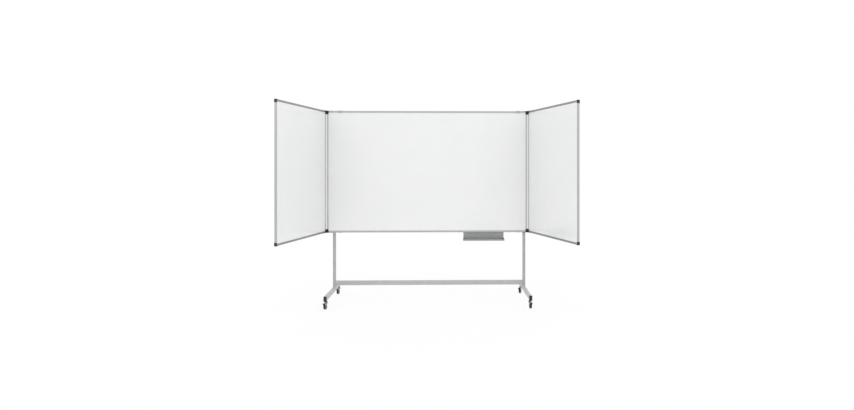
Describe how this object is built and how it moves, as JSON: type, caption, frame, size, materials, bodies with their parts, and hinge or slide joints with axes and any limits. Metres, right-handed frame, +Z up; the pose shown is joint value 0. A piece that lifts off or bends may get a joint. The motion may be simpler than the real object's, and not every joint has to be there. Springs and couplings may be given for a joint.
{
  "type": "triptych whiteboard",
  "caption": "Mobile triptych whiteboard: a wide centre board with two hinged wings, on a stand with braked castors and a sliding pen tray.",
  "frame": {"origin": "on the floor, midway between the centres of the two posts", "axes": "+X to the reader's right along the centre board, +Y to the back, away from the reader, +Z up"},
  "size_m": [2.5228, 1.2902, 1.8814],
  "materials": {
    "frame_aluminium": "satin",
    "enamelled_sheet": "gloss",
    "back_steel": "satin",
    "board_core": "matte",
    "corner_plastic": "matte",
    "tube_paint": "satin",
    "zinc_steel": "satin",
    "bracket_paint": "satin",
    "tray_paint": "satin",
    "tray_cap_plastic": "matte",
    "tyre_rubber": "matte",
    "hub_plastic": "satin",
    "lever_plastic": "satin"
  },
  "bodies": {
    "stand_and_centre_board": {"left_post": "tube_paint", "right_post": "tube_paint", "crossbar": "tube_paint", "left_foot": "tube_paint", "right_foot": "tube_paint", "tube_end_caps": "corner_plastic", "stand_bolts": "zinc_steel", "upper_brackets": "bracket_paint", "lower_brackets": "bracket_paint", "castor_stems": "zinc_steel", "hinge_pins": "zinc_steel", "centre_top_rail": "frame_aluminium", "centre_bottom_rail": "frame_aluminium", "centre_left_stile": "frame_aluminium", "centre_right_stile": "frame_aluminium", "centre_core": "board_core", "centre_writing_sheet": "enamelled_sheet", "centre_back_sheet": "back_steel", "centre_hinge_corners": "corner_plastic", "centre_board_screws": "zinc_steel"},
    "left_wing": {"left_wing_top_rail": "frame_aluminium", "left_wing_bottom_rail": "frame_aluminium", "left_wing_hinge_stile": "frame_aluminium", "left_wing_free_stile": "frame_aluminium", "left_wing_core": "board_core", "left_wing_writing_sheets": "enamelled_sheet", "left_wing_hinge_corners": "corner_plastic", "left_wing_free_corners": "corner_plastic", "left_wing_corner_screws": "zinc_steel"},
    "right_wing": {"right_wing_top_rail": "frame_aluminium", "right_wing_bottom_rail": "frame_aluminium", "right_wing_hinge_stile": "frame_aluminium", "right_wing_free_stile": "frame_aluminium", "right_wing_core": "board_core", "right_wing_writing_sheets": "enamelled_sheet", "right_wing_hinge_corners": "corner_plastic", "right_wing_free_corners": "corner_plastic", "right_wing_corner_screws": "zinc_steel"},
    "pen_tray_slide": {"pen_tray": "tray_paint", "tray_end_caps": "tray_cap_plastic"},
    "front_left_castor_swivel": {"front_left_castor_fork": "zinc_steel", "front_left_castor_axle": "zinc_steel"},
    "front_left_castor_wheel": {"front_left_castor_tyre": "tyre_rubber", "front_left_castor_hub": "hub_plastic"},
    "front_left_castor_brake": {"front_left_castor_brake_lever": "lever_plastic"},
    "front_right_castor_swivel": {"front_right_castor_fork": "zinc_steel", "front_right_castor_axle": "zinc_steel"},
    "front_right_castor_wheel": {"front_right_castor_tyre": "tyre_rubber", "front_right_castor_hub": "hub_plastic"},
    "front_right_castor_brake": {"front_right_castor_brake_lever": "lever_plastic"},
    "rear_left_castor_swivel": {"rear_left_castor_fork": "zinc_steel", "rear_left_castor_axle": "zinc_steel"},
    "rear_left_castor_wheel": {"rear_left_castor_tyre": "tyre_rubber", "rear_left_castor_hub": "hub_plastic"},
    "rear_left_castor_brake": {"rear_left_castor_brake_lever": "lever_plastic"},
    "rear_right_castor_swivel": {"rear_right_castor_fork": "zinc_steel", "rear_right_castor_axle": "zinc_steel"},
    "rear_right_castor_wheel": {"rear_right_castor_tyre": "tyre_rubber", "rear_right_castor_hub": "hub_plastic"},
    "rear_right_castor_brake": {"rear_right_castor_brake_lever": "lever_plastic"}
  },
  "joints": [
    {"name": "left_wing_hinge", "type": "hinge", "parent": "stand_and_centre_board", "child": "left_wing", "pos_m": [-1.021, -0.043, 1.273], "axis": [0, 0, -1], "range_deg": [-102, 78]},
    {"name": "right_wing_hinge", "type": "hinge", "parent": "stand_and_centre_board", "child": "right_wing", "pos_m": [0.981, -0.043, 1.273], "axis": [0, 0, 1], "range_deg": [-106, 74]},
    {"name": "pen_tray_travel", "type": "slide", "parent": "stand_and_centre_board", "child": "pen_tray_slide", "axis": [1, 0, 0], "range_m": [-1.195, 0.112]},
    {"name": "front_left_castor_turn", "type": "hinge", "parent": "stand_and_centre_board", "child": "front_left_castor_swivel", "pos_m": [-0.95, -0.4, 0.06], "axis": [0, 0, 1], "continuous": true},
    {"name": "front_left_castor_roll", "type": "hinge", "parent": "front_left_castor_swivel", "child": "front_left_castor_wheel", "pos_m": [-0.95484, -0.41941, 0.025], "axis": [0.9703, -0.2419, 0], "continuous": true},
    {"name": "front_left_castor_brake_press", "type": "hinge", "parent": "front_left_castor_swivel", "child": "front_left_castor_brake", "pos_m": [-0.95944, -0.43784, 0.049], "axis": [0.9703, -0.2419, 0], "range_deg": [0, 20]},
    {"name": "front_right_castor_turn", "type": "hinge", "parent": "stand_and_centre_board", "child": "front_right_castor_swivel", "pos_m": [0.95, -0.4, 0.06], "axis": [0, 0, 1], "continuous": true},
    {"name": "front_right_castor_roll", "type": "hinge", "parent": "front_right_castor_swivel", "child": "front_right_castor_wheel", "pos_m": [0.95209, -0.41989, 0.025], "axis": [0.9945, 0.1045, 0], "continuous": true},
    {"name": "front_right_castor_brake_press", "type": "hinge", "parent": "front_right_castor_swivel", "child": "front_right_castor_brake", "pos_m": [0.95408, -0.43879, 0.049], "axis": [0.9945, 0.1045, 0], "range_deg": [0, 20]},
    {"name": "rear_left_castor_turn", "type": "hinge", "parent": "stand_and_centre_board", "child": "rear_left_castor_swivel", "pos_m": [-0.95, 0.239, 0.06], "axis": [0, 0, 1], "continuous": true},
    {"name": "rear_left_castor_roll", "type": "hinge", "parent": "rear_left_castor_swivel", "child": "rear_left_castor_wheel", "pos_m": [-0.95416, 0.21944, 0.025], "axis": [0.9781, -0.2079, 0], "continuous": true},
    {"name": "rear_left_castor_brake_press", "type": "hinge", "parent": "rear_left_castor_swivel", "child": "rear_left_castor_brake", "pos_m": [-0.95811, 0.20085, 0.049], "axis": [0.9781, -0.2079, 0], "range_deg": [0, 20]},
    {"name": "rear_right_castor_turn", "type": "hinge", "parent": "stand_and_centre_board", "child": "rear_right_castor_swivel", "pos_m": [0.95, 0.239, 0.06], "axis": [0, 0, 1], "continuous": true},
    {"name": "rear_right_castor_roll", "type": "hinge", "parent": "rear_right_castor_swivel", "child": "rear_right_castor_wheel", "pos_m": [0.94186, 0.22073, 0.025], "axis": [0.9135, -0.4067, 0], "continuous": true},
    {"name": "rear_right_castor_brake_press", "type": "hinge", "parent": "rear_right_castor_swivel", "child": "rear_right_castor_brake", "pos_m": [0.93414, 0.20337, 0.049], "axis": [0.9135, -0.4067, 0], "range_deg": [0, 20]}
  ]
}
